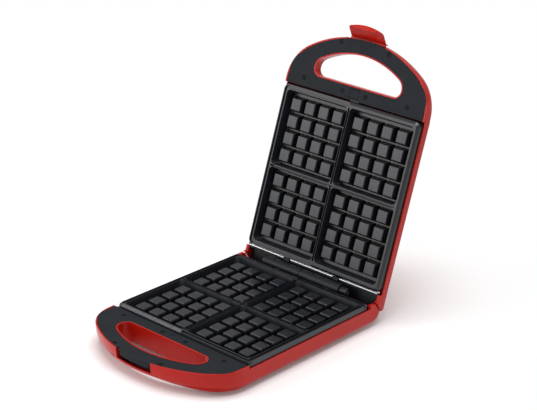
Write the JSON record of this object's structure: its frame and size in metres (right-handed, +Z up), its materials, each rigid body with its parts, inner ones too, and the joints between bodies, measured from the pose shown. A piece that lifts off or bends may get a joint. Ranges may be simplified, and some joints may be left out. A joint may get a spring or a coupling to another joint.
{
  "type": "waffle maker",
  "caption": "Opened countertop waffle maker: red base and lid with through-handles, dark trims, pegged waffle plates, rear hinge and a swing latch on the lid.",
  "frame": {"origin": "centre of the bounding box on the surface that the feet stand on", "axes": "+X to the right seen from the front, +Y to the back where the hinge and lid are, +Z up"},
  "size_m": [0.2492, 0.4652, 0.3846],
  "materials": {
    "red_case": "glossy",
    "dark_trim": "satin",
    "black_plastic": "satin",
    "coated_plate": "satin non-stick coating",
    "bright_steel": "bright",
    "dark_steel": "dark",
    "heater_sheath": "oxidised",
    "rubber": "matte",
    "ceramic": "matte",
    "amber_lens": "clear tinted",
    "green_lens": "clear tinted",
    "lamp_glass": "clear"
  },
  "bodies": {
    "base": {"base_shell": "red_case", "base_trim": "dark_trim", "base_plate": "coated_plate", "base_reflector": "bright_steel", "base_heater": "heater_sheath", "base_release_spring": "bright_steel", "base_trim_screw_1": "dark_steel", "base_trim_screw_2": "dark_steel", "base_trim_screw_3": "dark_steel", "base_trim_screw_4": "dark_steel", "base_trim_screw_5": "dark_steel", "base_trim_screw_6": "dark_steel", "base_rear_clip_left": "black_plastic", "base_rear_clip_right": "black_plastic", "base_rear_cover": "black_plastic", "hinge_rod": "bright_steel", "link_wire_sleeve": "rubber", "thermostat": "ceramic", "thermal_fuse": "bright_steel", "terminal_block": "ceramic", "cord_gland": "rubber", "foot_front_left": "rubber", "foot_front_right": "rubber", "foot_rear_left": "rubber", "foot_rear_right": "rubber"},
    "lid": {"lid_shell": "red_case", "lid_trim": "dark_trim", "lid_plate": "coated_plate", "lid_reflector": "bright_steel", "lid_heater": "heater_sheath", "lid_release_spring": "bright_steel", "lid_trim_screw_1": "dark_steel", "lid_trim_screw_2": "dark_steel", "lid_trim_screw_3": "dark_steel", "lid_trim_screw_4": "dark_steel", "lid_trim_screw_5": "dark_steel", "lid_trim_screw_6": "dark_steel", "lid_rear_clip_left": "black_plastic", "lid_rear_clip_right": "black_plastic", "lid_rear_cover": "black_plastic", "lens_power": "amber_lens", "lens_ready": "green_lens", "lamp_power": "lamp_glass", "lamp_ready": "lamp_glass", "latch_pin": "bright_steel"},
    "latch": {"latch": "red_case"},
    "base_button": {"base_release_button": "dark_trim"},
    "lid_button": {"lid_release_button": "dark_trim"}
  },
  "joints": [
    {"name": "lid_hinge", "type": "hinge", "parent": "base", "child": "lid", "pos_m": [0, 0.11145, 0.0354], "axis": [1, 0, 0], "range_deg": [0, 107.1]},
    {"name": "latch_pivot", "type": "hinge", "parent": "lid", "child": "latch", "pos_m": [0, 0.22459, 0.35998], "axis": [1, 0, 0], "range_deg": [-20, 47]},
    {"name": "base_button_slide", "type": "slide", "parent": "base", "child": "base_button", "axis": [0, 0, -1], "range_m": [0, 0.002], "stiffness_N_per_m": 400, "springref_m": -0.003, "deforming": ["base_release_spring"]},
    {"name": "lid_button_slide", "type": "slide", "parent": "lid", "child": "lid_button", "axis": [0, 0.9558, -0.294], "range_m": [0, 0.002], "stiffness_N_per_m": 400, "springref_m": -0.003, "deforming": ["lid_release_spring"]}
  ]
}
